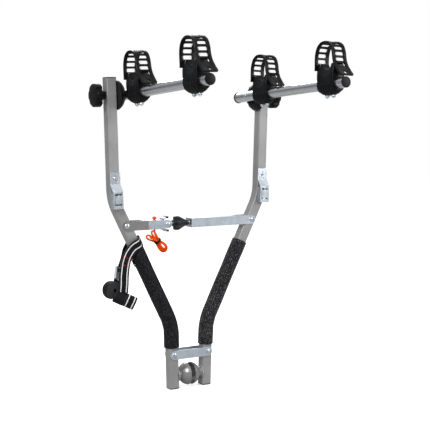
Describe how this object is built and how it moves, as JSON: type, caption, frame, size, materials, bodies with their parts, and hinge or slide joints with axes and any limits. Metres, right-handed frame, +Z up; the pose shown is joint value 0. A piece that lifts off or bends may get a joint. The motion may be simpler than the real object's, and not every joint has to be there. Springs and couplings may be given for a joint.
{
  "type": "tow ball bicycle carrier",
  "caption": "Folding bicycle carrier whose two bent arms grip a tow ball; a toggle strut spreads them and strapped cradles on swivelling tubes hold the bicycles.",
  "frame": {"origin": "centre of the tow ball between the two cups", "axes": "+Z up, +X to the right, -Y towards the free ends of the support tubes"},
  "size_m": [0.5136, 0.4446, 0.8358],
  "materials": {
    "painted_arm": "satin silver-grey paint",
    "painted_bar": "satin warm grey paint",
    "support": "satin silver paint",
    "zinc": "bright zinc plating",
    "cast_cup": "satin silver paint",
    "foam": "matte black foam",
    "black_plastic": "matte black, moulded",
    "black_rubber": "satin black rubber",
    "orange_cord": "braided cord",
    "webbing": "black webbing with two white stripes"
  },
  "bodies": {
    "link": {"link_plate_front": "zinc", "link_plate_rear": "zinc", "pivot_rivet_left": "zinc", "pivot_rivet_right": "zinc"},
    "arm_left": {"arm_tube_left": "painted_arm", "top_plug_left": "black_plastic", "foot_plug_left": "black_plastic", "ball_cup_left": "cast_cup", "foam_sleeve_left": "foam", "buckle_frame_left": "zinc", "buckle_rivet_left": "zinc", "cam_pin_left": "zinc", "tie_strap": "webbing", "tie_strap_buckle": "zinc", "tie_strap_roll": "webbing"},
    "arm_right": {"arm_tube_right": "painted_arm", "top_plug_right": "black_plastic", "foot_plug_right": "black_plastic", "ball_cup_right": "cast_cup", "foam_sleeve_right": "foam", "buckle_frame_right": "zinc", "buckle_rivet_right": "zinc", "cam_pin_right": "zinc"},
    "short_strut": {"strut_bar_left": "painted_bar", "strut_rivet_left": "zinc", "toggle_bracket": "zinc", "toggle_pin": "zinc", "release_cord": "orange_cord", "release_cord_knot": "orange_cord", "release_cord_hank": "orange_cord", "cord_tie": "black_plastic"},
    "long_strut": {"strut_bar_right": "zinc", "strut_rivet_right": "zinc", "eyebolt": "zinc"},
    "latch": {"toggle_latch": "zinc", "latch_caps": "black_plastic"},
    "adjuster": {"adjuster_knob": "black_plastic"},
    "support_left": {"support_tube_left": "support", "front_cap_left": "black_plastic", "rear_cap_left": "black_plastic", "swivel_disc_left": "black_plastic", "swivel_bolt_left": "zinc"},
    "knob_left": {"clamp_knob_left": "black_plastic"},
    "cam_left": {"cam_lever_left": "black_plastic"},
    "saddle_left_front": {"cradle_left_front": "black_plastic", "cradle_strap_left_front": "black_rubber"},
    "saddle_left_rear": {"cradle_left_rear": "black_plastic", "cradle_strap_left_rear": "black_rubber"},
    "support_right": {"support_tube_right": "support", "front_cap_right": "black_plastic", "rear_cap_right": "black_plastic", "swivel_disc_right": "black_plastic", "swivel_bolt_right": "zinc"},
    "knob_right": {"clamp_knob_right": "black_plastic"},
    "cam_right": {"cam_lever_right": "black_plastic"},
    "saddle_right_front": {"cradle_right_front": "black_plastic", "cradle_strap_right_front": "black_rubber"},
    "saddle_right_rear": {"cradle_right_rear": "black_plastic", "cradle_strap_right_rear": "black_rubber"}
  },
  "joints": [
    {"name": "arm_left_fold", "type": "hinge", "parent": "link", "child": "arm_left", "pos_m": [-0.0474, 0, 0.0522], "axis": [0, 1, 0], "range_deg": [0, 9]},
    {"name": "arm_right_fold", "type": "hinge", "parent": "link", "child": "arm_right", "pos_m": [0.0474, 0, 0.0522], "axis": [0, -1, 0], "range_deg": [0, 9]},
    {"name": "short_strut_turn", "type": "hinge", "parent": "arm_left", "child": "short_strut", "pos_m": [-0.17393, 0, 0.37559], "axis": [0, -1, 0], "range_deg": [0, 83.2]},
    {"name": "long_strut_turn", "type": "hinge", "parent": "short_strut", "child": "long_strut", "pos_m": [-0.064, 0, 0.37559], "axis": [0, 1, 0], "range_deg": [0, 100.5]},
    {"name": "latch_turn", "type": "hinge", "parent": "long_strut", "child": "latch", "pos_m": [-0.064, 0, 0.37559], "axis": [0, 1, 0], "range_deg": [-12, 12]},
    {"name": "adjuster_spin", "type": "hinge", "parent": "long_strut", "child": "adjuster", "pos_m": [-0.024, 0, 0.37559], "axis": [1, 0, 0], "continuous": true},
    {"name": "support_left_swivel", "type": "hinge", "parent": "arm_left", "child": "support_left", "pos_m": [-0.17269, 0, 0.68386], "axis": [0.9996, 0, 0.0297], "range_deg": [-90, 75]},
    {"name": "knob_left_spin", "type": "hinge", "parent": "arm_left", "child": "knob_left", "pos_m": [-0.17269, 0, 0.68386], "axis": [0.9996, 0, 0.0297], "continuous": true},
    {"name": "cam_left_lift", "type": "hinge", "parent": "arm_left", "child": "cam_left", "pos_m": [-0.20406, -0.0205, 0.44282], "axis": [0.9996, 0, 0.0297], "range_deg": [-60, 0], "stiffness_Nm_per_rad": 0.03, "springref_deg": 20.05},
    {"name": "saddle_left_front_slide", "type": "slide", "parent": "support_left", "child": "saddle_left_front", "axis": [-0.002, -0.9976, 0.0689], "range_m": [-0.08, 0.015]},
    {"name": "saddle_left_rear_slide", "type": "slide", "parent": "support_left", "child": "saddle_left_rear", "axis": [-0.002, -0.9976, 0.0689], "range_m": [-0.005, 0.08]},
    {"name": "support_right_swivel", "type": "hinge", "parent": "arm_right", "child": "support_right", "pos_m": [0.17269, 0, 0.68386], "axis": [0.9996, 0, -0.0297], "range_deg": [-90, 75]},
    {"name": "knob_right_spin", "type": "hinge", "parent": "arm_right", "child": "knob_right", "pos_m": [0.17269, 0, 0.68386], "axis": [0.9996, 0, -0.0297], "continuous": true},
    {"name": "cam_right_lift", "type": "hinge", "parent": "arm_right", "child": "cam_right", "pos_m": [0.20406, -0.0205, 0.44282], "axis": [0.9996, 0, -0.0297], "range_deg": [-60, 0], "stiffness_Nm_per_rad": 0.03, "springref_deg": 20.05},
    {"name": "saddle_right_front_slide", "type": "slide", "parent": "support_right", "child": "saddle_right_front", "axis": [0.002, -0.9976, 0.0689], "range_m": [-0.08, 0.015]},
    {"name": "saddle_right_rear_slide", "type": "slide", "parent": "support_right", "child": "saddle_right_rear", "axis": [0.002, -0.9976, 0.0689], "range_m": [-0.005, 0.08]}
  ],
  "couplings": [
    {"joint": "arm_right_fold", "follows": "arm_left_fold", "ratio": 1},
    {"joint": "short_strut_turn", "follows": "arm_left_fold", "ratio": 9.22},
    {"joint": "long_strut_turn", "follows": "arm_left_fold", "ratio": 11.15}
  ]
}
